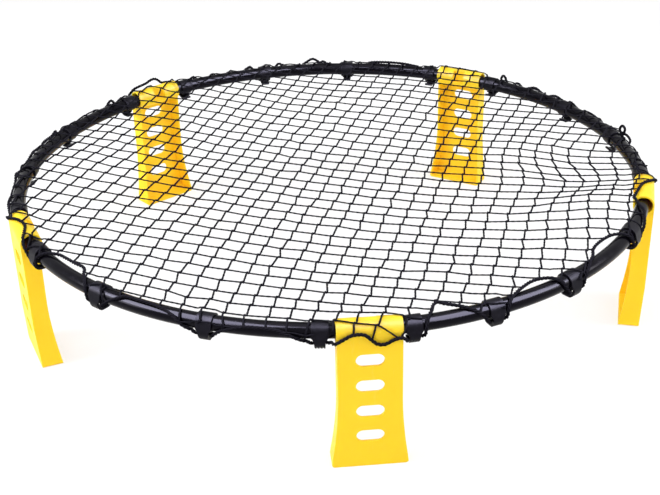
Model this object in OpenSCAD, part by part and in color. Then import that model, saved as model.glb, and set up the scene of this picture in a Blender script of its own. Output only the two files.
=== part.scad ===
// Low round net set: a ring of five curved tubes stands on five folding moulded legs.
// A knotted net is stretched over the ring and its hem rope is caught under twenty hooks.
// Millimetres. The origin is on the ground under the ring's centre and +Z is up.
// Leg 1 stands at -Y and the legs are numbered anticlockwise, seen from above.

/* [Ring] */
// Radius of the ring, to the centre line of its tube
ring_r = 446; // [400:1:520]
// Height of the tube's centre line above the ground
ring_h = 187; // [170:1:230]
// Outside diameter of the rim tube
tube_d = 19.5; // [17:0.5:21]
// Wall of the rim tube
tube_wall = 2.5; // [1.5:0.1:3.5]

/* [Leg sleeve] */
// Bore of the sleeve that a leg turns on
bore_d = 24; // [23.5:0.5:27]
// Wall of the sleeve
sleeve_wall = 2.5; // [2:0.1:3.5]
// Length of the sleeve along the rim
sleeve_len = 78; // [66:1:80]
// Gap left where the net's pull draws the tube towards the inside of the bore
seat_gap = 0.3; // [0.2:0.05:0.5]
// Length of the solid web that keeps the two tube ends apart
web_len = 24; // [18:1:30]
// Gap between a tube's end and the web
end_gap = 0.5; // [0.3:0.1:2]
// Length of the window in the top of the web, along the rim
window_len = 20; // [12:1:22]
// Depth that the window reaches below the sleeve's axis
window_drop = 4.7; // [2:0.1:6]
// Distance from the sleeve's axis to the window's back wall
window_back = 4; // [3:0.5:7]

/* [Leg channel] */
// Width of the leg from its sleeve down to where it flares
waist_w = 77; // [64:1:80]
// Width of the leg's foot
foot_w = 95; // [82:1:104]
// Height at which the leg begins to flare
flare_h = 95; // [70:1:120]
// Depth of the channel above the flare
channel_depth = 24; // [20:0.5:27]
// Depth of the channel at the foot
foot_depth = 29; // [25:0.5:36]
// Distance that the foot's outer face is drawn in under the sleeve
foot_tuck = 5; // [2:0.5:8]
// Height at which the outer face begins to draw in
tuck_h = 60; // [40:1:80]
// Wall of the channel
leg_wall = 3; // [2.2:0.1:3.6]
// Thickness of the sole that closes the channel's foot
sole_t = 3; // [2:0.1:5]
// Radius of the foot's lower corners
foot_corner_r = 4; // [2:0.5:6]

/* [Leg slots] */
// Length of each slot
slot_len = 34; // [26:1:44]
// Height of each slot
slot_h = 16.5; // [10:0.5:19]
// Distance from one slot to the next
slot_pitch = 35.6; // [32:0.1:36]
// Height of the lowest slot's centre above the ground
slot_first = 46; // [40:1:52]

/* [Net hooks] */
// Width of a hook's collar along the rim
hook_w = 20; // [16:0.5:21]
// Width of a hook below its shoulders, where the blade hangs free
hook_neck_w = 14; // [10:0.5:15]
// Width of a hook at its tip
hook_tip_w = 9; // [7:0.5:10]
// Wall of the hook's collar
hook_wall = 2.1; // [1.5:0.1:3]
// Gap between the collar's bore and the tube
hook_fit = 0.2; // [0.15:0.05:0.3]
// Thickness of the hook's blade
blade_t = 3.2; // [2:0.1:4]
// Room in a hook's trough that the rope leaves free
trough_slack = 1.4; // [0.5:0.1:2]
// Amount by which the inside of the blade is bent tighter than the collar
blade_inset = 2; // [1:0.1:3]
// Distance that the blade's bend stands out from under the tube
blade_out = 1; // [0:0.1:2]
// Least gap between a hook and a leg's sleeve
hook_leg_gap = 2.3; // [1.5:0.1:6]
// Places of the four hooks along rim tube 1, from 0, at the leg before it, to 1, at the leg after it. Hooks
// slide, and use moves them.
hooks_1 = [0, 0.225, 0.49, 0.835]; // [0:0.005:1]
// The same along rim tube 2
hooks_2 = [0.015, 0.34, 0.63, 0.985]; // [0:0.005:1]
// The same along rim tube 3
hooks_3 = [0.015, 0.34, 0.66, 0.985]; // [0:0.005:1]
// The same along rim tube 4
hooks_4 = [0.015, 0.34, 0.66, 0.97]; // [0:0.005:1]
// The same along rim tube 5
hooks_5 = [0.04, 0.355, 0.695, 0.99]; // [0:0.005:1]
// Depth of the grooves on the outside of a hook
groove_depth = 0.8; // [0.4:0.1:1.2]
// Width of the grooves on the outside of a hook
groove_w = 1.2; // [0.8:0.1:1.6]
// Distance from one groove to the next
groove_pitch = 3.6; // [3:0.1:4]

/* [Net and rope] */
// Distance from one cord of the net to the next
mesh_pitch = 44; // [43:1:60]
// Width of a net cord
cord_w = 2.4; // [1.6:0.1:3]
// Thickness of a net cord
cord_t = 2; // [1.2:0.1:2.1]
// Diameter of the hem rope
rope_d = 4.4; // [4:0.1:4.6]
// Clearance between the net, the rope and what they lie on
lie_gap = 0.3; // [0.2:0.05:0.5]

/* [Hidden] */
leg_count = 5;
hook_places = [hooks_1, hooks_2, hooks_3, hooks_4, hooks_5];
hooks_per_tube = len(hooks_1);
fine = 96;
leg_turn = 360 / leg_count;
first_leg_a = -90;

tube_r = tube_d / 2;
bore_r = bore_d / 2;
sleeve_r = bore_r + sleeve_wall;
rope_r = rope_d / 2;
collar_bore_r = tube_r + hook_fit;
collar_r = collar_bore_r + hook_wall;

// The tube bends inwards by this much over half a sleeve, and the sleeve's bore is straight.
tube_sag = ring_r - sqrt(ring_r * ring_r - sleeve_len * sleeve_len / 4);
// The sleeve's axis lies here, so that at its mouths the tube is seat_gap from the bore's inner side.
leg_r = ring_r + bore_r - tube_r - tube_sag - seat_gap;
tube_end_a = asin((web_len / 2 + end_gap) / ring_r);
// Angle from a leg to a hook that is as near to it as a hook may be
first_hook_a = asin((sleeve_len / 2 + hook_leg_gap + hook_w / 2) / ring_r);

// Channel: distances from the sleeve's axis, outwards positive
inner_top = sleeve_r - channel_depth;
foot_out = sleeve_r - foot_tuck;
inner_foot = foot_out - foot_depth;
slot_count = 4;
flare_steps = 8;
flare_power = 1.7;

// Net: it lies on the tube, ends over it, and is cut back round the sleeves and the hooks' collars.
net_z = ring_h + tube_r + lie_gap;
net_r = ring_r - lie_gap;
function half_at_net(r) = sqrt(max(0, r * r - pow(net_z - ring_h, 2)));
net_lines = floor(net_r / mesh_pitch - 0.4);

// Blade of a hook: an arc about a centre that lies under the tube, with the rope's trough inside it
blade_in_r = collar_r - blade_inset;
blade_r = blade_in_r + blade_t;
trough_drop = collar_r + rope_d + 2 * lie_gap + trough_slack - blade_in_r;
blade_to_a = -125;
groove_from_a = -22;
groove_to_a = -85;
blade_mid = [blade_out, -trough_drop];
blade_off = norm(blade_mid);
blade_off_a = atan2(-trough_drop, blade_out);
// The flank that runs from the collar to the blade touches both and faces this angle.
flank_a = blade_off_a + acos((collar_r - blade_r) / blade_off);
// The blade's inside leaves the collar at this angle about the tube, and at this one about its own centre.
root_a = blade_off_a + corner_a(blade_off, collar_r, blade_in_r);
root_blade_a = blade_off_a + 180 - corner_a(blade_off, blade_in_r, collar_r);
blade_tip = blade_mid + (blade_in_r + blade_t / 2) * [cos(blade_to_a), sin(blade_to_a)];
arc_step = 7.5;
// Shoulders, where the collar's full width draws in to the neck: heights below the tube's centre line
shoulder_top = 3;
shoulder_low = 7;
tip_corner = 1.5;

// Angle between the first two sides of a triangle
function corner_a(a, b, opposite) = acos((a * a + b * b - opposite * opposite) / (2 * a * b));
function leg_angle(k) = first_leg_a + (k - 1) * leg_turn;
function after_leg(place) = first_hook_a + place * (leg_turn - 2 * first_hook_a);
function hook_angle(k) = let (i = floor((k - 1) / hooks_per_tube))
    leg_angle(i + 1) + after_leg(hook_places[i][(k - 1) % hooks_per_tube]);

// Outline of the leg at height z: 1 where the flare is full at the ground, 0 above it
function flare(z) = z > flare_h ? 0 : pow(1 - z / flare_h, flare_power);
function half_width(z) = waist_w / 2 + (foot_w - waist_w) / 2 * flare(z);
function inner_edge(z) = inner_top + (inner_foot - inner_top) * flare(z);
function outer_face(z) = z > tuck_h
    ? sleeve_r - foot_tuck * 0.3 * (ring_h - z) / (ring_h - tuck_h)
    : sleeve_r - foot_tuck * (1 - 0.7 * z / tuck_h);
function flare_heights() = [for (i = [0 : flare_steps]) flare_h * i / flare_steps];

LEGS = [for (k = [1 : leg_count]) str("leg_", k)];
TUBES = [for (k = [1 : leg_count]) str("rim_tube_", k)];
HOOKS = [for (k = [1 : leg_count * hooks_per_tube]) str("net_hook_", k)];

// ---- Leg ----

// Side view of the channel, drawn with the radius across and the height up. inset draws it as the hollow.
module side_outline(inset) {
    top_drop = sqrt(sleeve_r * sleeve_r - inner_top * inner_top);
    open_side = inset > 0 ? -foot_depth : 0;
    low = inset > 0 ? sole_t : 0;
    outer = [for (z = [ring_h, tuck_h, low]) [outer_face(z) - inset, z]];
    inner = inset > 0
        ? [[inner_foot + open_side, low], [inner_foot + open_side, ring_h]]
        : concat([for (z = flare_heights()) [inner_edge(z), z]], [[inner_top, ring_h - top_drop]]);
    polygon(concat(outer, inner));
}

// Front view of the channel, drawn with the width across and the height up
module front_outline(inset) {
    low = inset > 0 ? sole_t : 0;
    r = inset > 0 ? 0 : foot_corner_r;
    heights = [for (z = flare_heights()) if (z > low + r) z];
    side = concat([for (z = heights) [half_width(z) - inset, z]], [[waist_w / 2 - inset, ring_h]]);
    corner = r > 0
        ? [for (a = [-90 : 15 : -15]) [half_width(r) - r + r * cos(a), r + r * sin(a)]]
        : [[half_width(low) - inset, low]];
    right = concat(corner, side);
    polygon(concat(right, [for (i = [len(right) - 1 : -1 : 0]) [-right[i][0], right[i][1]]]));
}

// Solid that both outlines bound
module channel_block(inset) {
    intersection() {
        rotate([90, 0, 0]) linear_extrude(foot_w * 2, center = true) side_outline(inset);
        rotate([90, 0, 90]) linear_extrude(foot_depth * 6, center = true) front_outline(inset);
    }
}

module slot(z) {
    reach = (slot_len - slot_h) / 2;
    translate([sleeve_r, 0, z]) rotate([0, 90, 0]) {
        for (side = [-1, 1])
            translate([0, side * reach, 0]) cylinder(d = slot_h, h = sleeve_r, center = true, $fn = fine);
        cube([slot_h, reach * 2, sleeve_r], center = true);
    }
}

// Bores for the two tube ends, one on each side of the web
module sleeve_bores() {
    depth = sleeve_len - web_len / 2;
    for (side = [-1, 1])
        translate([0, side * (web_len + depth) / 2, ring_h]) rotate([90, 0, 0])
            cylinder(r = bore_r, h = depth, center = true, $fn = fine);
}

module web_window() {
    translate([-window_back - sleeve_r, -window_len / 2, ring_h - window_drop])
        cube([sleeve_r, window_len, sleeve_r * 2]);
}

module leg(k) {
    color("gold") rotate([0, 0, leg_angle(k)]) translate([leg_r, 0, 0]) difference() {
        union() {
            difference() {
                channel_block(0);
                channel_block(leg_wall);
                for (i = [0 : slot_count - 1]) slot(slot_first + i * slot_pitch);
            }
            translate([0, 0, ring_h]) rotate([90, 0, 0])
                cylinder(r = sleeve_r, h = sleeve_len, center = true, $fn = fine);
        }
        sleeve_bores();
        web_window();
    }
}

// ---- Rim tube ----

module rim_tube(k) {
    color([0.06, 0.06, 0.08]) translate([0, 0, ring_h]) rotate([0, 0, leg_angle(k) + tube_end_a])
        rotate_extrude(angle = leg_turn - 2 * tube_end_a, $fn = fine * 2) translate([ring_r, 0])
            difference() {
                circle(d = tube_d, $fn = fine);
                circle(d = tube_d - 2 * tube_wall, $fn = fine);
            }
}

// ---- Net hook ----

function arc(middle, r, from_a, to_a) = let (steps = ceil(abs(to_a - from_a) / arc_step))
    [for (i = [0 : steps]) let (a = from_a + (to_a - from_a) * i / steps) middle + r * [cos(a), sin(a)]];

// Side view of a hook: up the blade's outside, round the collar, down the blade's inside and round its tip
module hook_outline() {
    difference() {
        polygon(concat(
            arc(blade_mid, blade_r, blade_to_a, flank_a),
            arc([0, 0], collar_r, flank_a, root_a + 360),
            arc(blade_mid, blade_in_r, root_blade_a, blade_to_a),
            arc(blade_tip, blade_t / 2, blade_to_a + 180, blade_to_a + 360)
        ));
        circle(r = collar_bore_r, $fn = fine);
    }
}

// Front view of a hook: as wide as its collar above the shoulders, then the neck, drawn in to the tip
module hook_front() {
    low = trough_drop + blade_r;
    side = [[hook_w / 2, collar_r + 1], [hook_w / 2, -shoulder_top], [hook_neck_w / 2, -shoulder_low],
        [hook_tip_w / 2 + tip_corner, tip_corner - low], [hook_tip_w / 2 - tip_corner, -tip_corner - low]];
    polygon(concat(side, [for (i = [len(side) - 1 : -1 : 0]) [-side[i][0], side[i][1]]]));
}

module hook_grooves() {
    for (i = [-1 : 1])
        translate([0, i * groove_pitch, 0]) rotate([90, 0, 0]) linear_extrude(groove_w, center = true)
            polygon(concat(arc(blade_mid, blade_r - groove_depth, groove_from_a, groove_to_a),
                arc(blade_mid, blade_r + blade_t, groove_to_a, groove_from_a)));
}

module net_hook(k) {
    color([0.10, 0.10, 0.11]) rotate([0, 0, hook_angle(k)]) translate([ring_r, 0, ring_h]) difference() {
        intersection() {
            rotate([90, 0, 0]) linear_extrude(hook_w, center = true) hook_outline();
            rotate([90, 0, 90]) linear_extrude(sleeve_r * 4, center = true) hook_front();
        }
        hook_grooves();
    }
}

// ---- Net ----

module net_notch(from_r, width) {
    translate([from_r - lie_gap, -width / 2 - lie_gap]) square([sleeve_r * 2, width + 2 * lie_gap]);
}

module net() {
    color([0.05, 0.05, 0.05]) translate([0, 0, net_z]) linear_extrude(cord_t) intersection() {
        union() {
            for (i = [-net_lines : net_lines - 1]) {
                at = (i + 0.5) * mesh_pitch;
                translate([at, 0]) square([cord_w, net_r * 2], center = true);
                translate([0, at]) square([net_r * 2, cord_w], center = true);
            }
        }
        difference() {
            circle(r = net_r, $fn = fine * 2);
            for (k = [1 : leg_count]) rotate([0, 0, leg_angle(k)])
                net_notch(leg_r - half_at_net(sleeve_r), sleeve_len);
            for (k = [1 : leg_count * hooks_per_tube]) rotate([0, 0, hook_angle(k)])
                net_notch(ring_r - half_at_net(collar_r), hook_w);
        }
    }
}

// ---- Hem rope ----

// Where the rope runs, from a hook to halfway along its span: an angle from the hook, then an angle round
// the tube from its outer side, then the room left under the rope. It climbs to the tube's top.
collar_room = collar_r - tube_r;
climb = [[0.8, -84, collar_room], [1.6, -61, collar_room], [2.5, -27, 2 * lie_gap], [3.9, 7, lie_gap],
    [5, 23, lie_gap], [6.3, 38, lie_gap]];
span_top_a = 51;
// Past a leg it is carried outside the sleeve. Each entry is the part of the sleeve's half length, from the
// middle, and the height over the sleeve's axis as a part of the sleeve's radius.
rope_side = sleeve_r + lie_gap + rope_r;
sleeve_pass = [[0, 0.2], [0.33, 0.14], [0.67, -0.1], [0.9, -0.4]];
// Then it bends round the edge of the sleeve's end. Each entry is an angle about that edge, from outwards to
// along the rim, and the height as above.
end_bend = [[0, -0.5], [45, -0.64], [80, -0.76]];
// Then it comes in under the tube to the first hook. Each entry is the part of the way to that hook's neck,
// an angle round the tube from its outer side, and the part by which it has drawn in to the collar.
to_hook = [[0, -48, 0], [0.1, -62, 0.35], [0.4, -74, 0.7], [1, -82, 1]];
sleeve_end_a = asin((sleeve_len / 2 + rope_r + lie_gap) / ring_r);
half_neck_a = asin(hook_neck_w / 2 / ring_r);
end_room = leg_r + sleeve_r - ring_r - tube_r + lie_gap;
rope_sides = 8;

function turned(x, y, a) = [x * cos(a) - y * sin(a), x * sin(a) + y * cos(a)];
function off_tube(a, round_a, room) =
    let (r = tube_r + rope_r + lie_gap + room)
    concat(turned(ring_r + r * cos(round_a), 0, a), ring_h + r * sin(round_a));
function off_leg(a, along, up) = concat(turned(leg_r + rope_side, along, a), ring_h + up);
function round_end(a, sign, bend, up) = let (r = rope_r + lie_gap)
    concat(turned(leg_r + sleeve_r + r * cos(bend), sign * (sleeve_len / 2 + r * sin(bend)), a), ring_h + up);
function mirrored(list) = [for (i = [len(list) - 1 : -1 : 0]) list[i]];
function climb_from(a, sign) = [for (p = climb) off_tube(a + sign * p[0], p[1], p[2])];
function under_hook(a) = off_tube(a, -88, collar_room);
function span(a, b) = concat([under_hook(a)], climb_from(a, 1),
    [off_tube((a + b) / 2, span_top_a, lie_gap)], mirrored(climb_from(b, -1)));
function side_of_leg(a, sign, hook_a) = let (way = hook_a - half_neck_a - sleeve_end_a) concat(
    [for (p = sleeve_pass) off_leg(a, sign * p[0] * sleeve_len / 2, p[1] * sleeve_r)],
    [for (p = end_bend) round_end(a, sign, p[0], p[1] * sleeve_r)],
    [for (p = to_hook) off_tube(a + sign * (sleeve_end_a + p[0] * way), p[1],
        end_room + p[2] * (collar_room + lie_gap - end_room))],
    [off_tube(a + sign * (hook_a - half_neck_a / 2), -85, collar_room)]);
function without_first(list) = [for (i = [1 : len(list) - 1]) list[i]];
function fifth(k) = let (
    a = leg_angle(k),
    hooks = [for (place = hook_places[k - 1]) after_leg(place)],
    last = hooks_per_tube - 1
) concat(
    side_of_leg(a, 1, hooks[0]),
    [for (i = [0 : last - 1]) each span(a + hooks[i], a + hooks[i + 1])],
    [under_hook(a + hooks[last])],
    mirrored(without_first(side_of_leg(a + leg_turn, -1, leg_turn - hooks[last]))));
function unit(v) = v / norm(v);

module hem_rope() {
    path = [for (k = [1 : leg_count]) each fifth(k)];
    n = len(path);
    rings = [for (i = [0 : n - 1])
        let (
            along = unit(path[(i + 1) % n] - path[(i + n - 1) % n]),
            side = unit(cross(along, [0, 0, 1])),
            up = cross(side, along)
        )
        for (j = [0 : rope_sides - 1])
            let (a = 360 * j / rope_sides) path[i] + rope_r * (cos(a) * side + sin(a) * up)];
    faces = [for (i = [0 : n - 1]) for (j = [0 : rope_sides - 1])
        let (
            a = i * rope_sides + j,
            b = i * rope_sides + (j + 1) % rope_sides,
            c = ((i + 1) % n) * rope_sides + (j + 1) % rope_sides,
            d = ((i + 1) % n) * rope_sides + j
        )
        each [[a, b, c], [a, c, d]]];
    color([0.08, 0.08, 0.08]) polyhedron(points = rings, faces = faces, convexity = 10);
}

// ---- Assembly ----

for (k = [1 : leg_count]) leg(k);
for (k = [1 : leg_count]) rim_tube(k);
for (k = [1 : leg_count * hooks_per_tube]) net_hook(k);
net();
hem_rope();
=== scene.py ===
"""Low round net set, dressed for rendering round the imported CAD.

The CAD gives the legs, the tubes and the hooks, which keep their shapes and get materials here. This script
strings the knotted net over the ring, lays the hem rope through the hooks, and sets camera and lights.
Lengths are millimetres until a mesh is made, in the CAD's frame: the ring's centre is over the origin, leg 1
stands at -Y, and angles go anticlockwise from +X, in degrees.
"""

import math

import bpy
import numpy as np
from mathutils import Matrix, Vector


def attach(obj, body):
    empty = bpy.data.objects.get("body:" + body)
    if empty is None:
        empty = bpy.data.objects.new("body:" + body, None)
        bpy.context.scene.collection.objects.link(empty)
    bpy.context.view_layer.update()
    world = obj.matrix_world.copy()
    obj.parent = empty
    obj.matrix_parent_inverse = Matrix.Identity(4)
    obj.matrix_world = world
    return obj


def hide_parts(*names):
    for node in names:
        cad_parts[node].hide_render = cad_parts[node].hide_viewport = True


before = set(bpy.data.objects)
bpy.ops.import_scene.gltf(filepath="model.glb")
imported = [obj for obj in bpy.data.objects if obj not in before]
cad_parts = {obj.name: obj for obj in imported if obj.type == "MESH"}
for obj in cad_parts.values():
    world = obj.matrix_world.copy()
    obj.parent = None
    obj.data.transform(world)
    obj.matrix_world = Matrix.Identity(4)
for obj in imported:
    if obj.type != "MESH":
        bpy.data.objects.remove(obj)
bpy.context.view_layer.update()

MM = 0.001
SEED = 20

# ---- Sizes, as the CAD has them ----

RING_R = 446.0
RING_H = 187.0
TUBE_R = 9.75
COLLAR_R = 12.05
SLEEVE_R = 14.5
LEG_R = 446.24
LEG_COUNT = 5
LEG_TURN = 360.0 / LEG_COUNT
FIRST_LEG_A = -90.0
HOOKS_ON_TUBE = 4
ROPE_R = 2.2
# Half the angle round the ring that a sleeve and a hook take up.
SLEEVE_HALF_A = 5.0
HOOK_HALF_A = 1.285
# Room between a thread or the rope and what it lies on.
GAP = 0.25


def leg_angle(k):
    """The angle of a leg, counted from 0."""
    return FIRST_LEG_A + k * LEG_TURN


def middle_angle(node):
    """The angle round the ring of a node's middle."""
    places = np.array([[v.co.x, v.co.y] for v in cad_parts[node].data.vertices])
    turned = places[:, 0] + 1j * places[:, 1]
    off = np.angle(turned / turned.mean(), deg=True)
    return float(np.angle(turned.mean(), deg=True) + (off.min() + off.max()) / 2.0)


LEG_ANGLES = [leg_angle(k) for k in range(LEG_COUNT)]
HOOK_ANGLES = [middle_angle(f"net_hook_{n + 1}") for n in range(LEG_COUNT * HOOKS_ON_TUBE)]

# ---- Camera ----

CAMERA_AT = Vector((-152.6, -1697.7, 948.9))
CAMERA_TO = Vector((-9.5, -71.8, 100.0))
CAMERA_ROLL = -1.317
LENS = 69.61
SENSOR = 36.0
# In metres.
SEEN_TO = 50.0


def make_camera():
    data = bpy.data.cameras.new("camera")
    data.sensor_fit = "HORIZONTAL"
    data.sensor_width = SENSOR
    data.lens = LENS
    data.clip_end = SEEN_TO
    camera = bpy.data.objects.new("camera", data)
    bpy.context.scene.collection.objects.link(camera)
    ahead = (CAMERA_TO - CAMERA_AT).normalized()
    right = ahead.cross(Vector((0, 0, 1))).normalized()
    up = right.cross(ahead)
    roll = math.radians(CAMERA_ROLL)
    across = math.cos(roll) * right + math.sin(roll) * up
    upward = math.cos(roll) * up - math.sin(roll) * right
    turn = Matrix((across, upward, -ahead)).transposed().to_4x4()
    camera.matrix_world = Matrix.Translation(CAMERA_AT * MM) @ turn
    bpy.context.scene.camera = camera


# ---- Materials ----

# Level and tint of the highlights on the black plastic and the tube, and the level on twine.
BLACK_GLOSS = 0.09
BLUISH = (0.86, 0.83, 1.0, 1.0)
TWINE_GLOSS = 0.04


class Nodes:
    """Short calls for building a material's node tree."""

    def __init__(self, name):
        self.material = bpy.data.materials.new(name)
        self.material.use_nodes = True
        self.tree = self.material.node_tree
        self.shader = self.tree.nodes["Principled BSDF"]
        self.output = self.tree.nodes["Material Output"]
        self.place = self.add("ShaderNodeTexCoord").outputs["Object"]

    def add(self, kind, **settings):
        node = self.tree.nodes.new(kind)
        for name, value in settings.items():
            setattr(node, name, value)
        return node

    def link(self, source, target):
        self.tree.links.new(source, target)

    def fixed(self, **values):
        for name, value in values.items():
            self.shader.inputs[name.replace("_", " ")].default_value = value

    def noise(self, scale, detail=3.0, stretch=(1, 1, 1), roughness=0.5):
        mapping = self.add("ShaderNodeMapping")
        mapping.inputs["Scale"].default_value = stretch
        self.link(self.place, mapping.inputs["Vector"])
        noise = self.add("ShaderNodeTexNoise")
        noise.inputs["Scale"].default_value = scale
        noise.inputs["Detail"].default_value = detail
        noise.inputs["Roughness"].default_value = roughness
        self.link(mapping.outputs["Vector"], noise.inputs["Vector"])
        return noise.outputs["Fac"]

    def ramp(self, value, low, high, from_value, to_value):
        """value, from low to high, as a number that goes from from_value to to_value."""
        node = self.add("ShaderNodeMapRange")
        node.inputs["From Min"].default_value = low
        node.inputs["From Max"].default_value = high
        node.inputs["To Min"].default_value = from_value
        node.inputs["To Max"].default_value = to_value
        self.link(value, node.inputs["Value"])
        return node.outputs["Result"]

    def blend(self, factor, first, second):
        """Two colours, or a colour output and a colour, mixed by factor."""
        node = self.add("ShaderNodeMix", data_type="RGBA")
        self.link(factor, node.inputs["Factor"])
        for socket, colour in ((node.inputs["A"], first), (node.inputs["B"], second)):
            if isinstance(colour, bpy.types.NodeSocket):
                self.link(colour, socket)
            else:
                socket.default_value = colour
        return node.outputs["Result"]

    def bump(self, heights, edge=0.0):
        """Bumps on the surface from (height, depth in mm, strength), over edges rounded by edge mm."""
        normal = None
        if edge:
            bevel = self.add("ShaderNodeBevel", samples=4)
            bevel.inputs["Radius"].default_value = edge * MM
            normal = bevel.outputs["Normal"]
        for height, depth, strength in heights:
            node = self.add("ShaderNodeBump")
            node.inputs["Distance"].default_value = depth * MM
            node.inputs["Strength"].default_value = strength
            self.link(height, node.inputs["Height"])
            if normal:
                self.link(normal, node.inputs["Normal"])
            normal = node.outputs["Normal"]
        self.link(normal, self.shader.inputs["Normal"])


def linear(red, green, blue):
    """A colour given as 0 to 255 on screen, as the renderer's linear colour."""
    def one(value):
        value /= 255.0
        return value / 12.92 if value <= 0.04045 else ((value + 0.055) / 1.055) ** 2.4
    return (one(red), one(green), one(blue), 1.0)


def leg_plastic():
    """Yellow, a little cloudy and scuffed, with soft edges and a fine grain."""
    m = Nodes("moulded_yellow_plastic")
    cloud = m.ramp(m.noise(9.0, 4.0), 0.3, 0.7, 0.0, 1.0)
    colour = m.blend(cloud, linear(254, 212, 38), linear(252, 207, 31))
    scuff = m.ramp(m.noise(70.0, 6.0, (1, 1, 0.12), 0.75), 0.62, 0.72, 0.0, 0.35)
    m.link(m.blend(scuff, colour, linear(255, 226, 110)), m.shader.inputs["Base Color"])
    m.link(m.ramp(m.noise(45.0, 5.0), 0.3, 0.7, 0.34, 0.46), m.shader.inputs["Roughness"])
    m.fixed(Subsurface_Weight=0.4, Subsurface_Scale=0.004, Subsurface_Radius=(1.0, 0.7, 0.15))
    m.fixed(Specular_IOR_Level=0.15)
    grain = m.noise(1400.0, 2.0)
    waves = m.noise(22.0, 2.0)
    m.bump([(waves, 0.6, 0.25), (grain, 0.05, 0.35)], edge=0.7)
    return m.material


def tube_gloss():
    """Glossy black, with faint paler marks."""
    m = Nodes("gloss_black_tube")
    drag = m.ramp(m.noise(160.0, 6.0, (1, 1, 6), 0.8), 0.55, 0.8, 0.0, 0.5)
    m.link(m.blend(drag, linear(5, 4, 9), linear(14, 13, 20)), m.shader.inputs["Base Color"])
    m.link(m.ramp(m.noise(60.0, 5.0), 0.3, 0.75, 0.12, 0.26), m.shader.inputs["Roughness"])
    m.fixed(Specular_IOR_Level=BLACK_GLOSS, Specular_Tint=BLUISH)
    m.bump([(m.noise(35.0, 2.0), 0.25, 0.3), (m.noise(900.0, 3.0), 0.02, 0.25)])
    return m.material


def hook_plastic():
    """Black, less glossy than the tube, with soft edges."""
    m = Nodes("satin_black_plastic")
    patch = m.ramp(m.noise(120.0, 4.0), 0.35, 0.7, 0.0, 1.0)
    m.link(m.blend(patch, linear(9, 8, 13), linear(14, 13, 19)), m.shader.inputs["Base Color"])
    m.link(m.ramp(m.noise(300.0, 4.0), 0.3, 0.7, 0.3, 0.42), m.shader.inputs["Roughness"])
    m.fixed(Specular_IOR_Level=BLACK_GLOSS, Specular_Tint=BLUISH)
    m.bump([(m.noise(2200.0, 2.0), 0.04, 0.4)], edge=0.5)
    return m.material


def twine(name, dark, pale, scale):
    """Dull fibres, from dark to pale; scale says how fine they are."""
    m = Nodes(name)
    fibre = m.ramp(m.noise(scale, 5.0, (1, 1, 1), 0.7), 0.35, 0.7, 0.0, 1.0)
    m.link(m.blend(fibre, dark, pale), m.shader.inputs["Base Color"])
    m.fixed(Roughness=0.8, Specular_IOR_Level=TWINE_GLOSS, Specular_Tint=BLUISH)
    m.bump([(m.noise(scale * 1.6, 4.0, (1, 1, 1), 0.8), 0.35, 0.6)])
    return m.material


# ---- The rim's surface, which the net and the rope lie on ----

# How far past its end, in degrees, the surface of a sleeve or a hook starts to give way to the tube's, and
# where it has done so.
EASE_FROM_A = 0.1
SLEEVE_EASE_A = 1.0
HOOK_EASE_A = 0.6
# Where the net starts to rise to pass over a hook or a sleeve, and where it has risen, in mm outside the
# ring's circle.
NET_RISE_FROM = -30.0
NET_RISE_TO = -3.0


def smooth(low, high, value):
    """0 up to low, 1 from high on, and smooth between them."""
    part = np.clip((np.asarray(value, float) - low) / (high - low), 0.0, 1.0)
    return part * part * (3.0 - 2.0 * part)


def apart(angle, others):
    """Signed angle from the nearest of the others."""
    angle = np.asarray(angle, float)
    gaps = (angle[..., None] - np.asarray(others, float) + 180.0) % 360.0 - 180.0
    nearest = np.abs(gaps).argmin(axis=-1)
    return np.take_along_axis(gaps, nearest[..., None], axis=-1)[..., 0]


def on_sleeve(angle):
    """1 where the rim is a leg's sleeve, 0 away from it."""
    off = np.abs(apart(angle, LEG_ANGLES))
    return 1.0 - smooth(SLEEVE_HALF_A + EASE_FROM_A, SLEEVE_HALF_A + SLEEVE_EASE_A, off)


def on_collar(angle):
    """1 where the rim is a hook's collar, 0 away from it."""
    off = np.abs(apart(angle, HOOK_ANGLES))
    return 1.0 - smooth(HOOK_HALF_A + EASE_FROM_A, HOOK_HALF_A + HOOK_EASE_A, off)


def rim_radius(angle):
    collar = (COLLAR_R - TUBE_R) * on_collar(angle)
    sleeve = (SLEEVE_R - TUBE_R) * on_sleeve(angle)
    return TUBE_R + np.maximum(collar, sleeve)


def rim_shift(angle):
    """How far outside the ring's circle the middle of the rim is: a sleeve is straight."""
    off = np.radians(apart(angle, LEG_ANGLES))
    return on_sleeve(angle) * (LEG_R / np.cos(off) - RING_R)


def in_space(angle, out, up):
    """A point from its angle, its distance outside the ring's circle and its height over the ring's."""
    turn = np.radians(angle)
    return np.stack([(RING_R + out) * np.cos(turn), (RING_R + out) * np.sin(turn), RING_H + up], axis=-1)


def on_net(angle, along, lift):
    """Where a thread whose middle is lift over the surface lies, along mm outwards from the ring's circle.

    Inside the ring it is flat, and it rises a little to pass over a collar or a sleeve. Outside, it wraps.
    """
    radius = rim_radius(angle) + lift
    flat = TUBE_R + lift
    rise = smooth(NET_RISE_FROM, NET_RISE_TO, along)
    wrap = np.maximum(along, 0.0) / radius
    shift = rim_shift(angle) * rise
    out = np.where(along <= 0.0, along, radius * np.sin(wrap)) + shift
    up = np.where(along <= 0.0, flat + (radius - flat) * rise, radius * np.cos(wrap))
    return out, up


# ---- Hem rope ----

# Under a hook the rope has one stop: degrees round the tube from its outer side, and the room under the rope.
# Beside it there are more, each with its degrees from the hook first.
COLLAR_ROOM = COLLAR_R - TUBE_R
UNDER_HOOK = (-88, COLLAR_ROOM)
BESIDE_HOOK = ((0.7, -85, COLLAR_ROOM), (1.15, -66, COLLAR_ROOM), (1.6, -38, COLLAR_ROOM))
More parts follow.
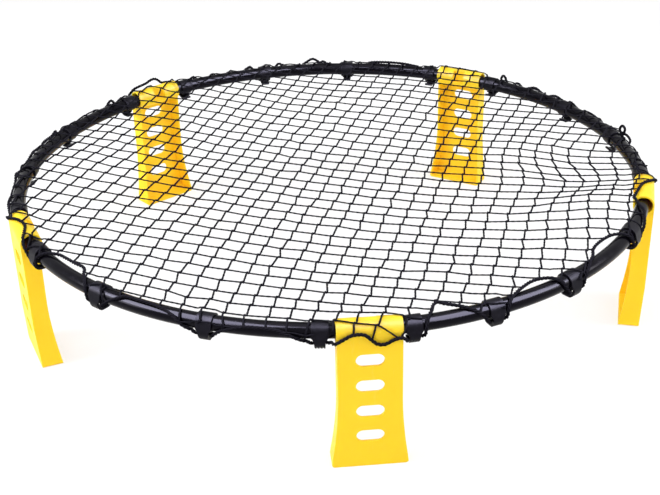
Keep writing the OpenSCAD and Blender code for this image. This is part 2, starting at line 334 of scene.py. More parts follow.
# Stops beside a hook are left out where they are this near to a sleeve's end, in degrees.
SLEEVE_CLEAR_A = 0.5

# Between two hooks the rope goes where use has left it: degrees from the leg before, mm outside the ring's
# circle and mm over the ring's height. Each tube has a row of stops for each of its three spans.
SPANS = (
    (
        ((8.4, 11.6, 3.6), (9.0, 4.6, 11.6), (9.8, -4.2, 12.8), (10.5, -14.5, 12.8), (11.4, -19.5, 12.8),
         (12.3, -13.5, 12.8), (14.2, -2.0, 12.8), (15.8, 6.6, 10.2), (17.2, 11.9, 2.5)),
        ((21.6, 11.9, 2.4), (22.1, 8.6, 8.8), (23.0, 3.8, 11.6), (24.5, -2.0, 12.5), (26.2, -7.0, 12.8),
         (28.0, -10.6, 12.8), (29.6, -9.8, 12.8), (31.2, -4.0, 12.6), (31.9, 3.5, 11.8), (32.5, 9.6, 7.6),
         (32.9, 11.9, 1.0)),
        ((37.0, 11.9, -1.0), (37.6, 11.4, 4.4), (38.4, 9.0, 8.4), (40.5, 1.3, 12.1), (42.1, -3.6, 12.8),
         (43.6, -10.6, 12.8), (45.6, -14.5, 12.8), (47.8, -14.6, 12.8), (49.4, -12.8, 12.8),
         (50.5, -9.6, 12.8), (51.4, -3.8, 12.6), (51.9, 3.4, 11.8), (52.4, 9.4, 8.0), (52.8, 11.9, 1.0)),
    ),
    (
        ((10.2, 12.8, -7.5), (11.2, 12.8, -3.9), (12.2, 12.8, -1.9), (14.1, 12.8, -3.1), (16.1, 12.8, -3.8),
         (18.1, 12.8, -1.7), (19.8, 12.8, -1.0), (21.4, 12.8, -3.8), (22.5, 12.8, -5.6), (24.0, 12.8, -7.5)),
        ((29.4, 12.6, -4.0), (32.7, 12.2, -1.0), (34.2, 12.2, 1.2), (36.0, 12.2, 4.0), (37.8, 12.2, 4.6),
         (39.6, 12.2, 2.0), (41.2, 12.2, -1.0)),
        ((45.9, 12.2, 2.6), (47.1, 12.2, 5.6), (48.3, 12.2, 7.4), (49.4, 12.2, 5.6), (50.5, 12.2, 2.6),
         (51.9, 12.2, 3.0), (53.3, 12.2, 7.4), (54.2, 12.2, 9.0), (55.2, 12.2, 7.0), (56.3, 12.2, 3.6),
         (57.2, 12.2, 0.5), (58.1, 12.2, 6.2), (58.8, 12.2, 8.0), (59.4, 12.2, 5.6), (60.2, 12.2, 2.6),
         (61.3, 12.2, 3.0), (61.7, 12.2, 8.4), (62.0, 12.2, 13.2), (62.5, 12.2, 14.8), (62.9, 12.2, 9.5)),
    ),
    (
        ((10.7, 11.2, 5.2), (12.1, 9.4, 8.4), (13.7, 7.2, 10.8), (15.9, 5.4, 12.0), (18.2, 5.4, 12.0),
         (21.1, 8.2, 9.8), (22.4, 11.6, 4.8), (24.0, 12.2, 0.0)),
        ((29.8, 12.2, 3.0), (31.1, 12.0, 5.6), (31.9, 11.4, 10.2), (32.6, 12.0, 7.8), (33.3, 11.6, 11.6),
         (34.0, 11.6, 14.8), (34.6, 11.8, 14.7), (35.3, 12.0, 11.6), (36.2, 12.2, 7.0), (37.2, 12.3, 2.5),
         (39.0, 12.3, 0.0), (40.3, 12.0, 5.5), (41.2, 11.4, 8.2), (41.9, 11.2, 10.6), (42.6, 12.0, 5.0)),
        ((47.7, 12.0, 4.0), (48.4, 11.2, 10.6), (49.1, 11.8, 7.4), (51.0, 12.2, 1.0), (56.0, 12.2, 0.0),
         (60.0, 12.2, 2.5), (60.9, 12.0, 5.6), (61.7, 11.2, 9.6), (62.4, 12.0, 3.5)),
    ),
    (
        ((9.6, 12.2, 0.5), (10.3, 11.4, 8.4), (10.8, 11.0, 11.4), (11.3, 11.0, 10.8), (11.8, 11.8, 6.6),
         (12.6, 12.2, 0.5), (14.5, 12.2, -4.0), (18.0, 12.2, -6.0), (22.0, 12.2, -6.0), (24.4, 12.2, -4.0)),
        ((28.4, 12.0, 5.0), (28.8, 11.2, 9.8), (30.0, 12.2, 6.0), (31.7, 12.2, 6.0), (33.5, 12.2, 6.2),
         (34.3, 12.4, 2.0), (35.2, 12.8, 1.4), (36.4, 13.0, 3.9), (38.0, 13.0, 5.4), (39.1, 13.0, 4.0),
         (40.4, 13.0, 1.8), (42.2, 12.8, 0.4), (43.4, 12.6, -3.0)),
        ((47.4, 12.8, 2.0), (48.1, 13.6, 5.6), (48.9, 13.4, 4.4), (49.7, 12.8, 0.6), (50.9, 12.6, -2.4),
         (52.6, 12.8, -7.0), (53.6, 13.2, -8.4), (54.6, 14.0, -7.4), (55.7, 14.6, -6.4), (57.2, 15.2, -5.8),
         (58.8, 15.2, -5.6), (60.0, 14.2, -8.0), (61.0, 13.2, -10.0)),
    ),
    (
        ((10.9, 12.0, 1.0), (11.6, 9.8, 7.4), (12.6, 2.5, 12.0), (14.3, -7.0, 12.8), (16.5, -10.0, 12.8),
         (19.0, -11.0, 12.8), (20.8, -12.5, 12.8), (22.0, -9.5, 12.8), (23.0, -2.4, 12.6),
         (24.3, 4.4, 11.4), (25.2, 10.0, 7.2), (25.6, 12.1, 2.0)),
        ((30.0, 11.9, -2.5), (31.2, 11.6, 3.8), (32.3, 9.1, 8.2), (33.5, 4.6, 11.4), (36.0, 4.0, 11.6),
         (38.5, 4.6, 11.3), (40.5, 6.6, 10.3), (42.0, 9.5, 7.7), (43.2, 11.8, 3.0), (44.2, 11.6, -3.5),
         (45.4, 9.0, -8.0)),
        ((50.2, 11.9, -2.5), (51.6, 12.1, 1.4), (53.6, 10.8, 5.8), (56.4, 10.4, 6.4), (58.6, 11.0, 5.0),
         (60.2, 12.1, 0.6), (61.6, 11.0, -5.2), (62.7, 7.6, -9.6)),
    ),
)
# The rope's stops round or over each leg's sleeve, in the same three measures.
PASSES = (
    ((-5.4, 14.6, -8.2), (-4.6, 17.0, -5.8), (-3.7, 17.0, -1.8), (-2.8, 16.8, 1.8), (-1.8, 16.6, 3.0),
     (-0.7, 17.0, 1.4), (0.2, 17.2, -5.2), (1.0, 17.1, -11.0), (2.1, 17.1, -12.0), (3.2, 17.2, -7.6),
     (4.2, 17.2, -5.0), (4.9, 16.6, -5.6), (5.3, 13.8, -9.2), (5.45, 9.0, -13.2), (5.65, 4.4, -14.4)),
    ((-10.5, 7.6, 10.6), (-8.4, -2.0, 13.0), (-6.4, -9.0, 13.6), (-5.2, -12.2, 12.6), (-3.6, -10.8, 13.0),
     (-1.6, -7.0, 15.4), (0.0, -2.8, 16.6), (1.2, 5.0, 16.0), (2.6, 11.4, 12.6), (4.2, 15.4, 6.8),
     (5.4, 15.0, 0.6)),
    ((-5.4, 15.2, -4.0), (-4.0, 16.2, 4.0), (-2.0, 14.4, 9.0), (0.0, 12.4, 11.4), (2.2, 14.2, 9.2),
     (4.2, 16.4, 3.6), (5.4, 14.8, -4.6)),
    ((-5.6, 14.8, 3.0), (-4.9, 15.2, 9.0), (-4.1, 15.4, 10.2), (-3.4, 15.4, 10.2), (-2.7, 15.4, 13.0),
     (-2.2, 15.4, 17.2), (-1.5, 15.2, 21.0), (-0.8, 15.0, 22.0), (0.0, 15.0, 20.8), (0.9, 15.0, 18.2),
     (1.9, 15.2, 17.0), (2.9, 15.4, 16.0), (4.0, 15.6, 14.4), (4.8, 15.6, 10.4), (5.4, 14.8, 2.0)),
    ((-5.6, 14.8, 4.0), (-4.4, 15.0, 7.6), (-3.1, 12.4, 11.4), (-1.0, 5.8, 15.8), (1.6, 1.6, 16.8),
     (3.5, 5.8, 15.8), (5.0, 11.0, 12.8), (6.1, 14.6, 6.6)),
)
# The rope's list of stops starts and ends this many degrees from leg 1.
SEAM_A = -1.5
# Beside the rope on tube 2 there are the closed eye of a bow and some loose ends: the radius of each, and its
# stops as in SPANS, from this leg.
LOOSE_FROM_A = leg_angle(1)
BOW_EYE = (2.0, (
    (26.5, 14.8, 17.4), (27.2, 14.8, 12.5), (27.3, 14.8, 7.9), (26.8, 14.8, 5.4), (26.1, 14.8, 6.0),
    (25.5, 14.8, 10.4), (25.3, 14.8, 15.0), (25.7, 14.8, 17.5),
))
LOOSE_ENDS = (
    (1.9, ((25.4, 14.8, 10.3), (25.9, 14.4, 4.2), (26.5, 14.6, -1.7), (26.8, 14.8, -7.1))),
    (1.9, ((26.8, 15.0, 6.0), (26.0, 16.4, 5.6), (25.2, 17.4, 6.3), (24.3, 18.0, 5.4), (23.5, 18.0, 2.8),
           (23.4, 17.0, -1.5), (23.8, 14.6, -7.0))),
    (0.8, ((31.6, 12.6, -3.1), (30.6, 13.4, 1.6), (29.5, 14.0, 5.0), (28.1, 14.4, 7.8), (27.2, 14.8, 9.4))),
    (0.9, ((27.3, 14.6, 9.6), (27.8, 14.2, 4.2), (28.5, 13.4, -2.2), (29.0, 12.6, -6.0))),
    (1.3, ((12.9, 12.8, -3.0), (12.5, 13.6, -0.4), (12.0, 14.4, 1.6))),
)
LOOSE_PARTS = 6
LOOSE_SIDES = 10
LOOSE_PLIES = 2
LOOSE_SWELL = 0.1
LOOSE_PITCH = 6.0
# The rope's curve has this many parts from stop to stop, and is then cut into even steps.
ROPE_PARTS = 8
ROPE_STEP = 2.0
# Least room under the rope, and outside a sleeve where the rope hangs beside a leg.
ROPE_ROOM = 0.12
BESIDE_LEG_ROOM = 0.3
# The rope's strands: how many, how thick, how far from its middle, and how long a turn is.
STRANDS = 3
STRAND_R = 1.3
STRAND_OFF = 1.15
STRAND_SIDES = 6
ROPE_PITCH = 15.0


def round_tube(angle, round_a, room):
    """A stop from its angle, its degrees round the tube and the room under the rope."""
    reach = TUBE_R + ROPE_R + GAP + room
    turn = math.radians(round_a)
    return (angle, reach * math.cos(turn), reach * math.sin(turn))


def side_of_hook(hook, sign):
    """The rope's stops beside a hook, short of a leg's sleeve."""
    stops = [round_tube(hook + sign * a, r, room) for a, r, room in BESIDE_HOOK]
    clear = SLEEVE_HALF_A + SLEEVE_CLEAR_A
    stops = [stop for stop in stops if abs(apart(stop[0], LEG_ANGLES)) > clear]
    return stops if sign > 0 else stops[::-1]


def rope_stops():
    """The rope's stops all round, from leg 1's sleeve: angle, out and up."""
    stops = []
    for k in range(LEG_COUNT):
        leg = leg_angle(k)
        stops += [(leg + a, out, up) for a, out, up in PASSES[k] if k or a > SEAM_A]
        hooks = HOOK_ANGLES[k * HOOKS_ON_TUBE:(k + 1) * HOOKS_ON_TUBE]
        for i, hook in enumerate(hooks):
            stops += side_of_hook(hook, -1)
            stops.append(round_tube(hook, *UNDER_HOOK))
            stops += side_of_hook(hook, 1)
            if i < len(hooks) - 1:
                stops += [(leg + a, out, up) for a, out, up in SPANS[k][i]]
    last = FIRST_LEG_A + 360.0
    return stops + [(last + a, out, up) for a, out, up in PASSES[0] if a <= SEAM_A]


def catmull(points, parts):
    """A closed smooth curve through the points."""
    before, after, beyond = (np.roll(points, n, axis=0) for n in (1, -1, -2))
    t = (np.arange(parts) / parts)[None, :, None]
    p0, p1, p2, p3 = (p[:, None, :] for p in (before, points, after, beyond))
    curve = 0.5 * (
        2.0 * p1 + (p2 - p0) * t + (2.0 * p0 - 5.0 * p1 + 4.0 * p2 - p3) * t**2
        + (3.0 * p1 - p0 - 3.0 * p2 + p3) * t**3
    )
    return curve.reshape(-1, points.shape[1])


def open_curve(points, parts):
    """A smooth curve from the first point to the last."""
    before, beyond = 2.0 * points[0] - points[1], 2.0 * points[-1] - points[-2]
    curve = catmull(np.vstack([before, points, beyond]), parts)
    return curve[parts:len(points) * parts + 1]


def run_along(points):
    """The distance along the line from its first point to each of its points."""
    return np.r_[0.0, np.cumsum(np.linalg.norm(np.diff(points, axis=0), axis=1))]


def evenly(points, step):
    """The same line with points about step apart, ends kept."""
    lengths = run_along(points)
    count = max(2, int(round(lengths[-1] / step)) + 1)
    at = np.linspace(0.0, lengths[-1], count)
    return np.stack([np.interp(at, lengths, points[:, c]) for c in range(points.shape[1])], axis=1)


def rope_line():
    """The rope's middle, in (angle, out, up), with nothing of it inside the rim."""
    angle, out, up = np.array(rope_stops()).T
    turn = np.radians(angle)
    places = np.stack([(RING_R + out) * np.cos(turn), (RING_R + out) * np.sin(turn), up], axis=1)
    curve = catmull(places, ROPE_PARTS)
    curve = evenly(np.vstack([curve, curve[:1]]), ROPE_STEP)[:-1]
    angle = np.degrees(np.arctan2(curve[:, 1], curve[:, 0]))
    out = np.hypot(curve[:, 0], curve[:, 1]) - RING_R
    up = curve[:, 2]
    shift = rim_shift(angle)
    near = rim_radius(angle) + ROPE_R + ROPE_ROOM
    away = np.hypot(out - shift, up)
    push = np.maximum(near / away, 1.0)
    out = (out - shift) * push
    beside_leg = (on_sleeve(angle) > 0.0) & (up < 0.0)
    outside = on_sleeve(angle) * (SLEEVE_R + ROPE_R + BESIDE_LEG_ROOM)
    out = np.where(beside_leg, np.maximum(out, outside), out)
    return np.stack([angle, out + shift, up * push], axis=1)


# ---- Tubes of thread ----


def frames_along(points, closed):
    """For each point: two directions across the line, carried along it without twist."""
    if closed:
        ahead = np.roll(points, -1, axis=0) - np.roll(points, 1, axis=0)
    else:
        ahead = np.gradient(points, axis=0)
    ahead /= np.linalg.norm(ahead, axis=1)[:, None]
    side = np.empty_like(points)
    first = np.cross(ahead[0], [0.0, 0.0, 1.0])
    side[0] = first / np.linalg.norm(first)
    for n in range(1, len(points)):
        across = side[n - 1] - ahead[n] * (side[n - 1] @ ahead[n])
        side[n] = across / np.linalg.norm(across)
    return side, np.cross(side, ahead)


class Mesh:
    """Vertices and faces of one piece, gathered tube by tube."""

    def __init__(self):
        self.points = []
        self.faces = []
        self.count = 0

    def rings(self, rings, closed):
        """Adds a tube from an array (number of rings, corners, 3), with flat ends unless it is closed."""
        number, sides = rings.shape[:2]
        base = self.count
        self.points.append(rings.reshape(-1, 3))
        self.count += number * sides
        here = np.arange(number if closed else number - 1)[:, None] * sides
        corner = np.arange(sides)[None, :]
        following = (corner + 1) % sides
        onward = (here + sides) % (number * sides)
        quads = np.stack([here + corner, here + following, onward + following, onward + corner], axis=-1)
        self.faces += (quads.reshape(-1, 4) + base).tolist()
        if not closed:
            self.faces.append([base + c for c in range(sides)][::-1])
            self.faces.append([base + (number - 1) * sides + c for c in range(sides)])

    def piece(self, name, material, body, slot, *nodes):
        """The gathered mesh as an object that stands for CAD nodes."""
        mesh = bpy.data.meshes.new(name)
        mesh.from_pydata((np.vstack(self.points) * MM).tolist(), [], self.faces)
        mesh.validate()
        mesh.polygons.foreach_set("use_smooth", [True] * len(mesh.polygons))
        mesh.materials.append(material)
        mesh.update()
        piece = bpy.data.objects.new(name, mesh)
        bpy.context.scene.collection.objects.link(piece)
        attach(piece, body)
        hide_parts(*nodes)
        return piece


def tube_rings(points, radius, sides, closed=False, lobes=0, lobe=0.0, pitch=10.0, turn=0.0):
    """Rings of a tube about the points. Its lobes twist round it once in each pitch."""
    side, up = frames_along(points, closed)
    around = np.arange(sides) * 2.0 * np.pi / sides
    twist = 2.0 * np.pi * run_along(points) / pitch + turn
    swell = 1.0 + lobe * np.cos(lobes * (around[None, :] - twist[:, None])) if lobes else 1.0
    reach = radius * swell * np.ones((len(points), sides))
    return points[:, None, :] + reach[..., None] * (
        np.cos(around)[None, :, None] * side[:, None, :] + np.sin(around)[None, :, None] * up[:, None, :]
    )


def lay_rope(mesh, points):
    """Adds a closed rope along the points, of strands laid round each other."""
    side, up = frames_along(points, closed=True)
    run = run_along(points)
    whole = run[-1] + np.linalg.norm(points[0] - points[-1])
    turns = round(whole / ROPE_PITCH)
    leftover = math.atan2(float(side[-1] @ up[0]), float(side[-1] @ side[0]))
    around = np.arange(STRAND_SIDES) * 2.0 * np.pi / STRAND_SIDES
    for strand in range(STRANDS):
        phase = 2.0 * np.pi * (turns * run / whole + strand / STRANDS) - leftover * run / whole
        middle = points + STRAND_OFF * (np.cos(phase)[:, None] * side + np.sin(phase)[:, None] * up)
        turned = phase[:, None] + around[None, :]
        rings = middle[:, None, :] + STRAND_R * (
            np.cos(turned)[..., None] * side[:, None, :] + np.sin(turned)[..., None] * up[:, None, :]
        )
        mesh.rings(rings, closed=True)


# ---- Net ----

# The net's own rows: where row 0 and column 0 cross, and the step from one to the next along each.
NET_FROM = np.array([-64.0, -316.0])
STEP_I = np.array([23.9, -10.4])
STEP_J = np.array([9.1, 22.6])
ROWS_I = range(-24, 24)
ROWS_J = range(-8, 38)
# Where the hooks and use have drawn the net out of square: place, reach of the pull, and how far it is drawn.
PULLS = (
    ((165, 55), 200, (-30, -20)),
    ((-55, -275), 200, (-25, -35)),
    ((-385, -110), 150, (-40, -10)),
    ((385, -220), 80, (0, 45)),
    ((-110, 110), 100, (-5, -10)),
    ((385, 0), 80, (-20, 20)),
    ((-165, -385), 80, (0, -15)),
    ((165, 275), 100, (10, 20)),
    ((-220, 385), 140, (10, 30)),
    ((-385, 55), 80, (-5, 15)),
    ((362, -100), 42, (9, -15)),
    ((300, -95), 45, (8, -5)),
    ((422, -8), 42, (-13, -12)),
    ((372, -30), 40, (-4, -8)),
    ((315, -281), 32, (5, 3)),
)
THREAD_R_I = 1.0
THREAD_R_J = 1.3
THREAD_SIDES = 5
THREAD_PLIES = 2
THREAD_SWELL = 0.16
THREAD_PITCH = 16.0
PARTS_PER_CELL = 7
# Extra height of each kind of thread and of a knot. The J threads cross over the I threads.
OVER_I = 0.25
OVER_J = 0.4
OVER_KNOT = 0.35
# Least room under a thread once it is tied to the rope.
THREAD_ROOM = 0.15
# A thread with fewer points than this inside the hem is left out.
LEAST_POINTS = 5
# How far the knots stray from an even net.
KNOT_SHIFT = 1.2
# At a knot the J thread runs beside the I thread for a little, with both wound round by the knot.
KNOT_HALF = 1.5
KNOT_R = 0.8
KNOT_WIND_R = 1.0
KNOT_TURNS = 1.6
KNOT_RINGS = 12
KNOT_TAIL = 0.4
KNOT_SIZES = (0.9, 1.15)
# The farthest that a knot is past the ring's circle, and how far short of the hem it stays.
KNOT_FAR = 22.0
KNOT_INSIDE_HEM = 5.0
# Within these degrees of a hook's middle, a thread goes no farther past the ring's circle than this.
AT_HOOK_A = 2.4
AT_HOOK_FAR = 20.0
# A thread's end is drawn to the rope over this length, if the rope is not farther off than this.
TIE_LENGTH = 16.0
TIE_FAR = 14.0
# Threads are tied to the rope where it is more degrees than this from a hook, and where it either lies on the
# rim, this far off it at most, or is less than this far outside the ring's circle.
TIE_HOOK_A = 2.0
ROPE_LIES = 2.4
ROPE_INSIDE = 4.0
# How far off the rim a thread may be, and how much more within a run from its end.
THREAD_SLACK = 1.2
END_SLACK = 8.0
END_RUN = 7.0
# Inside the ring a thread may be any distance from the rim. This ends between two places near the ring's
# circle, in mm outside it.
INSIDE_SLACK = 1000.0
INSIDE_FROM = -8.0
INSIDE_TO = 1.0
# The least distance from the rim's middle that is divided by.
LEAST_AWAY = 0.1


def net_place(i, j):
    """Where a knot is on the flat, once the pulls have drawn the net out of square."""
    place = NET_FROM + np.multiply.outer(i, STEP_I) + np.multiply.outer(j, STEP_J)
    moved = place.copy()
    for at, reach, pull in PULLS:
        far = ((place - np.array(at)) ** 2).sum(axis=-1)
        moved += np.exp(-far / (2.0 * reach * reach))[..., None] * np.array(pull, float)
    return moved


def make_lattice(rng):
    """Knot places by (i, j), each a little off where an even net would have it."""
    i, j = np.meshgrid(np.array(ROWS_I, float), np.array(ROWS_J, float), indexing="ij")
    return net_place(i, j) + rng.normal(0.0, KNOT_SHIFT, i.shape + (2,))


def hem_reach(rope):
    """The angle and the distance along the net's surface where the rope holds its edge, in order of angle."""
    angle, out, up = rope.T
    wrap = np.arctan2(out, up)
    lift = THREAD_R_J + GAP
    along = np.where(out > 0.0, wrap * (rim_radius(angle) + lift), out)
    order = np.argsort(angle % 360.0)
    return angle[order] % 360.0, along[order], rope[order]


def lay_thread(curve, hem, lift):
    """A thread's points in space from its points on the flat: cut at the hem rope and tied to it."""
    hem_angle, hem_along, hem_rope = hem
    angle = np.degrees(np.arctan2(curve[:, 1], curve[:, 0])) % 360.0
    along = np.hypot(curve[:, 0], curve[:, 1]) - RING_R
    limit = np.interp(angle, hem_angle, hem_along, period=360.0)
    at_hook = np.abs(apart(angle, HOOK_ANGLES)) < AT_HOOK_A
    limit = np.where(at_hook, np.minimum(limit, AT_HOOK_FAR), limit)
    inside = along < limit
    edges = np.flatnonzero(np.diff(np.r_[False, inside, False]))
    threads = []
    for first, end in edges.reshape(-1, 2):
        if end - first < LEAST_POINTS:
            continue
        out, up = on_net(angle[first:end], along[first:end], lift)
        points = in_space(angle[first:end], out, up)
        tied = (first > 0, end < len(inside))
        threads.append(tie_ends(points, angle[first:end], tied, hem_rope))
    return threads


def tie_ends(points, angle, tied, rope):
    """Bends the ends of a thread on to the rope, where the rope lies close and clear of a hook."""
    rope_points = in_space(*rope.T)
    hook_off = np.abs(apart(rope[:, 0], HOOK_ANGLES))
    off_rim = np.hypot(rope[:, 1] - rim_shift(rope[:, 0]), rope[:, 2]) - rim_radius(rope[:, 0]) - ROPE_R
    lies = (rope[:, 1] < ROPE_INSIDE) | (off_rim < ROPE_LIES)
    open_rope = rope_points[(hook_off > TIE_HOOK_A) & lies]
    for at_end in (False, True):
        if not tied[at_end]:
            continue
        line = points[::-1] if at_end else points
        gap = np.linalg.norm(open_rope - line[0], axis=1)
        if gap.min() > TIE_FAR:
            continue
        target = open_rope[gap.argmin()]
        pull = 1.0 - smooth(0.0, TIE_LENGTH + gap.min(), run_along(line))
        line = line + pull[:, None] * (target - line[0])
        points = line[::-1] if at_end else line
    return points


def keep_on_rim(points, room):
    """Moves points that would be inside the rim out to its surface, and those over it down on to it."""
    angle = np.degrees(np.arctan2(points[:, 1], points[:, 0]))
    shift = rim_shift(angle)
    out = np.hypot(points[:, 0], points[:, 1]) - RING_R - shift
    up = points[:, 2] - RING_H
    away = np.maximum(np.hypot(out, up), LEAST_AWAY)
    near = rim_radius(angle) + room
    run = run_along(points)
    to_end = np.minimum(run, run[-1] - run)
    far = near + THREAD_SLACK + END_SLACK * (1.0 - smooth(0.0, END_RUN, to_end))
    far = far + INSIDE_SLACK * (1.0 - smooth(INSIDE_FROM, INSIDE_TO, out))
    push = np.clip(away, near, far) / away
    return in_space(angle, out * push + shift, up * push)


def straight_runs(points, parts):
    """Points along the straight runs from knot to knot."""
    part = (np.arange(parts) / parts)[None, :, None]
    runs = points[:-1, None, :] * (1.0 - part) + points[1:, None, :] * part
    return np.vstack([runs.reshape(-1, points.shape[1]), points[-1:]])


def jogged_runs(points, across, parts):
    """The same for a thread that goes beside another at each knot, in the direction across."""
    enters, leaves = points - KNOT_HALF * across, points + KNOT_HALF * across
    part = (np.arange(parts + 1) / parts)[None, :, None]
    runs = leaves[:-1, None, :] * (1.0 - part) + enters[1:, None, :] * part
    return runs.reshape(-1, points.shape[1])


def knot_rings(middle, along, normal, turn, size):
    """A thread wound round the crossing, along the I thread."""
    side = np.cross(normal, along)
    part = np.linspace(0.0, 1.0, KNOT_RINGS)
    wind = turn + 2.0 * math.pi * KNOT_TURNS * part
    reach = size * KNOT_WIND_R * np.ones(KNOT_RINGS)
    reach[[0, -1]] *= KNOT_TAIL
    line = (
        middle
        + (2.0 * part - 1.0)[:, None] * KNOT_HALF * size * along
        + (reach * np.cos(wind))[:, None] * side
        + (reach * np.sin(wind))[:, None] * normal
    )
    return tube_rings(line, KNOT_R * size, THREAD_SIDES)


def lay_knot(place, along_here, turn, size):
    """Rings of the knot at a place on the flat, where the I thread runs in the direction along_here."""
    angle = math.degrees(math.atan2(place[1], place[0])) % 360.0
    along = math.hypot(*place) - RING_R
    ends = []
    for step in (-0.5, 0.5):
        end = place + step * along_here
        end_angle = np.array([math.degrees(math.atan2(end[1], end[0]))])
        end_along = np.array([math.hypot(*end) - RING_R])
        out, up = on_net(end_angle, end_along, THREAD_R_J + GAP + OVER_KNOT)
        ends.append(in_space(end_angle, out, up)[0])
    direction = (ends[1] - ends[0]) / np.linalg.norm(ends[1] - ends[0])
    radial = np.array([math.cos(math.radians(angle)), math.sin(math.radians(angle)), 0.0])
    wrap = max(along, 0.0) / float(rim_radius(np.array([angle]))[0])
    normal = radial * math.sin(wrap) + np.array([0.0, 0.0, math.cos(wrap)])
    return knot_rings((ends[0] + ends[1]) / 2.0, direction, normal, turn, size)


def make_net(rope, material):
    """The threads of both directions and their knots, cut and tied at the rope."""
    rng = np.random.default_rng(SEED)
    lattice = make_lattice(rng)
    along_i = np.gradient(lattice, axis=0)
    along_i /= np.linalg.norm(along_i, axis=-1)[..., None]
    hem = hem_reach(rope)
    mesh = Mesh()
    threads = []
    for c in range(lattice.shape[1]):
        threads.append((straight_runs(lattice[:, c], PARTS_PER_CELL), THREAD_R_I, OVER_I))
    for r in range(lattice.shape[0]):
        threads.append((jogged_runs(lattice[r], along_i[r], PARTS_PER_CELL), THREAD_R_J, OVER_J))
    for curve, radius, over in threads:
        for points in lay_thread(curve, hem, radius + GAP + over):
            points = keep_on_rim(points, radius + THREAD_ROOM)
            plies = {"lobes": THREAD_PLIES, "lobe": THREAD_SWELL, "pitch": THREAD_PITCH}
            rings = tube_rings(points, radius, THREAD_SIDES, turn=rng.uniform(0, 6), **plies)
            mesh.rings(rings, closed=False)
    hem_angle, hem_along, _ = hem
    for place, along_here in zip(lattice.reshape(-1, 2), along_i.reshape(-1, 2)):
        angle = math.degrees(math.atan2(place[1], place[0])) % 360.0
        limit = min(float(np.interp(angle, hem_angle, hem_along, period=360.0)), KNOT_FAR)
        turn = rng.uniform(0, 2.0 * math.pi)
        size = rng.uniform(*KNOT_SIZES)
        if math.hypot(*place) - RING_R <= limit - KNOT_INSIDE_HEM:
            mesh.rings(lay_knot(place, along_here, turn, size), closed=False)
    return mesh.piece("net_twine", material, "ring", "net_cord", "net")


def make_rope(rope, material):
    """The hem rope, and the bow's eye and the loose ends beside it."""
    mesh = Mesh()
    lay_rope(mesh, in_space(*rope.T))
    for loose in (BOW_EYE,) + LOOSE_ENDS:
        radius, stops = loose
        closed = loose is BOW_EYE
        angle, out, up = np.array(stops).T
        places = in_space(LOOSE_FROM_A + angle, out, up)
        line = catmull(places, LOOSE_PARTS) if closed else open_curve(places, LOOSE_PARTS)
        rings = tube_rings(
            line, radius, LOOSE_SIDES, closed, lobes=LOOSE_PLIES, lobe=LOOSE_SWELL, pitch=LOOSE_PITCH
        )
        mesh.rings(rings, closed)
    return mesh.piece("hem_rope_laid", material, "ring", "hem_cord", "hem_rope")


# ---- Studio ----

# In metres: half the floor's width, and how far below the soles it is.
FLOOR_HALF = 6.0
FLOOR_DROP = 0.0002
# How white the floor is made near the set, where it shows shadows, and the distances from the middle, in
# metres, over which it turns all white.
FLOOR_WHITE = 0.6
SHADOW_REACH = (0.8, 2.2)
# How bright the surroundings are as a light. The camera sees them white.
WORLD_LEVEL = 0.66
# The lamps: name, place, what each points at, width and height, in metres, and power in watts.
LAMPS = (
    ("top_box", (0.0, -0.3, 2.6), (0, 0, 0), 2.6, 2.6, 42.0),
    ("left_box", (-2.2, -0.5, 1.0), (-0.3, 0, 0.1), 1.0, 1.0, 32.0),
    ("right_box", (2.2, -0.6, 1.0), (0.3, 0, 0.1), 1.0, 1.0, 20.0),
)
# The boxes that show only in gloss: name, degrees to the right of the front, degrees up, width and height.
GLINTS = (
    ("left_glint", -65.0, 46.0, 2.0, 2.0),
    ("right_glint", 52.0, 46.0, 2.2, 2.0),
)
# Their distance in metres, how bright they are, and their colour.
GLINT_FAR = 2.4
GLINT_LEVEL = 40.0
GLINT_COLOUR = (0.88, 0.88, 1.0)


def seen_straight(tree):
    """1 for rays from the camera and those that gloss and glass send on, 0 for light on dull surfaces."""
    path = tree.nodes.new("ShaderNodeLightPath")
    seen = path.outputs["Is Camera Ray"]
    for ray in ("Is Glossy Ray", "Is Transmission Ray"):
        either = tree.nodes.new("ShaderNodeMath")
        either.operation = "MAXIMUM"
        tree.links.new(seen, either.inputs[0])
        tree.links.new(path.outputs[ray], either.inputs[1])
        seen = either.outputs["Value"]
    return seen


def make_floor():
    mesh = bpy.data.meshes.new("floor")
    h = FLOOR_HALF
    mesh.from_pydata([(-h, -h, 0), (h, -h, 0), (h, h, 0), (-h, h, 0)], [], [(0, 1, 2, 3)])
    floor = bpy.data.objects.new("floor", mesh)
    bpy.context.scene.collection.objects.link(floor)
    floor.location.z = -FLOOR_DROP
    m = Nodes("studio_floor")
    m.fixed(Base_Color=(0.97, 0.97, 0.975, 1.0), Roughness=1.0, Specular_IOR_Level=0.0)
    glow = m.add("ShaderNodeEmission")
    far = m.add("ShaderNodeVectorMath", operation="LENGTH")
    m.link(m.place, far.inputs[0])
    white = m.ramp(far.outputs["Value"], *SHADOW_REACH, FLOOR_WHITE, 1.0)
    share = m.add("ShaderNodeMath", operation="MULTIPLY")
    m.link(seen_straight(m.tree), share.inputs[0])
    m.link(white, share.inputs[1])
    mix = m.add("ShaderNodeMixShader")
    m.link(share.outputs["Value"], mix.inputs["Fac"])
    m.link(m.shader.outputs["BSDF"], mix.inputs[1])
    m.link(glow.outputs["Emission"], mix.inputs[2])
    m.link(mix.outputs["Shader"], m.output.inputs["Surface"])
    mesh.materials.append(m.material)


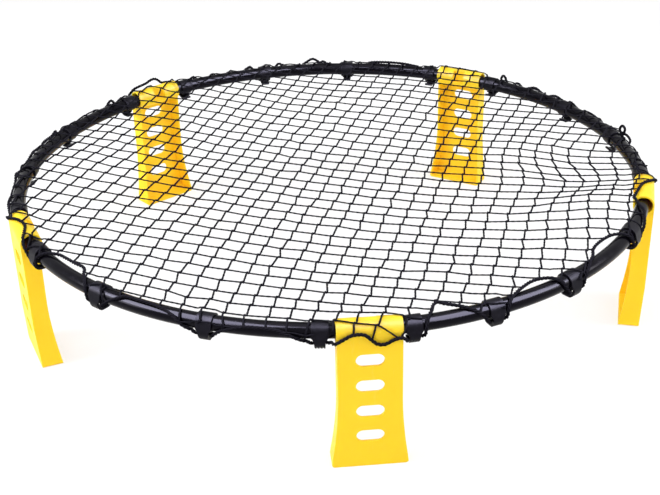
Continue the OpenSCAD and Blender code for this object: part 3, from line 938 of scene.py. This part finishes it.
def make_world():
    world = bpy.data.worlds.new("studio")
    bpy.context.scene.world = world
    world.use_nodes = True
    tree = world.node_tree
    back = tree.nodes["Background"]
    back.inputs["Color"].default_value = (1.0, 1.0, 1.0, 1.0)
    back.inputs["Strength"].default_value = WORLD_LEVEL
    white = tree.nodes.new("ShaderNodeBackground")
    white.inputs["Color"].default_value = (1.0, 1.0, 1.0, 1.0)
    white.inputs["Strength"].default_value = 1.0
    mix = tree.nodes.new("ShaderNodeMixShader")
    tree.links.new(seen_straight(tree), mix.inputs["Fac"])
    tree.links.new(back.outputs["Background"], mix.inputs[1])
    tree.links.new(white.outputs["Background"], mix.inputs[2])
    tree.links.new(mix.outputs["Shader"], tree.nodes["World Output"].inputs["Surface"])


def soft_box(name, at, to, width, height, power, glints_only=False):
    """A lamp. One for glints only shows in gloss and adds no light to dull surfaces."""
    data = bpy.data.lights.new(name, "AREA")
    data.shape = "RECTANGLE"
    data.size = width
    data.size_y = height
    data.energy = power
    lamp = bpy.data.objects.new(name, data)
    bpy.context.scene.collection.objects.link(lamp)
    lamp.location = at
    lamp.rotation_euler = (Vector(to) - Vector(at)).to_track_quat("-Z", "Y").to_euler()
    lamp.visible_diffuse = not glints_only
    return data


def glint_box(name, turn, rise, width, height):
    """A box turn degrees to the right of the front and rise degrees up, as the gloss sees it."""
    side, lift = math.radians(turn), math.radians(rise)
    ahead = Vector((math.sin(side) * math.cos(lift), -math.cos(side) * math.cos(lift), math.sin(lift)))
    at = Vector((0.0, 0.0, RING_H * MM)) + GLINT_FAR * ahead
    power = GLINT_LEVEL * math.pi * width * height
    data = soft_box(name, at, (0, 0, RING_H * MM), width, height, power, glints_only=True)
    data.color = GLINT_COLOUR


def make_lights():
    for lamp in LAMPS:
        soft_box(*lamp)
    for glint in GLINTS:
        glint_box(*glint)


# ---- Assembly ----


def dress_cad():
    """Gives the CAD's own pieces their materials."""
    finishes = {"leg_": leg_plastic(), "rim_tube_": tube_gloss(), "net_hook_": hook_plastic()}
    for name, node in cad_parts.items():
        for start, material in finishes.items():
            if name.startswith(start):
                for slot in node.material_slots:
                    slot.material = material


bpy.context.scene.view_settings.view_transform = "Standard"
make_camera()
make_floor()
make_world()
make_lights()
dress_cad()
rope = rope_line()
make_net(rope, twine("net_twine_black", linear(4, 4, 7), linear(12, 11, 17), 1500.0))
make_rope(rope, twine("hem_rope_black", linear(5, 4, 7), linear(17, 16, 22), 900.0))

bpy.context.view_layer.update()
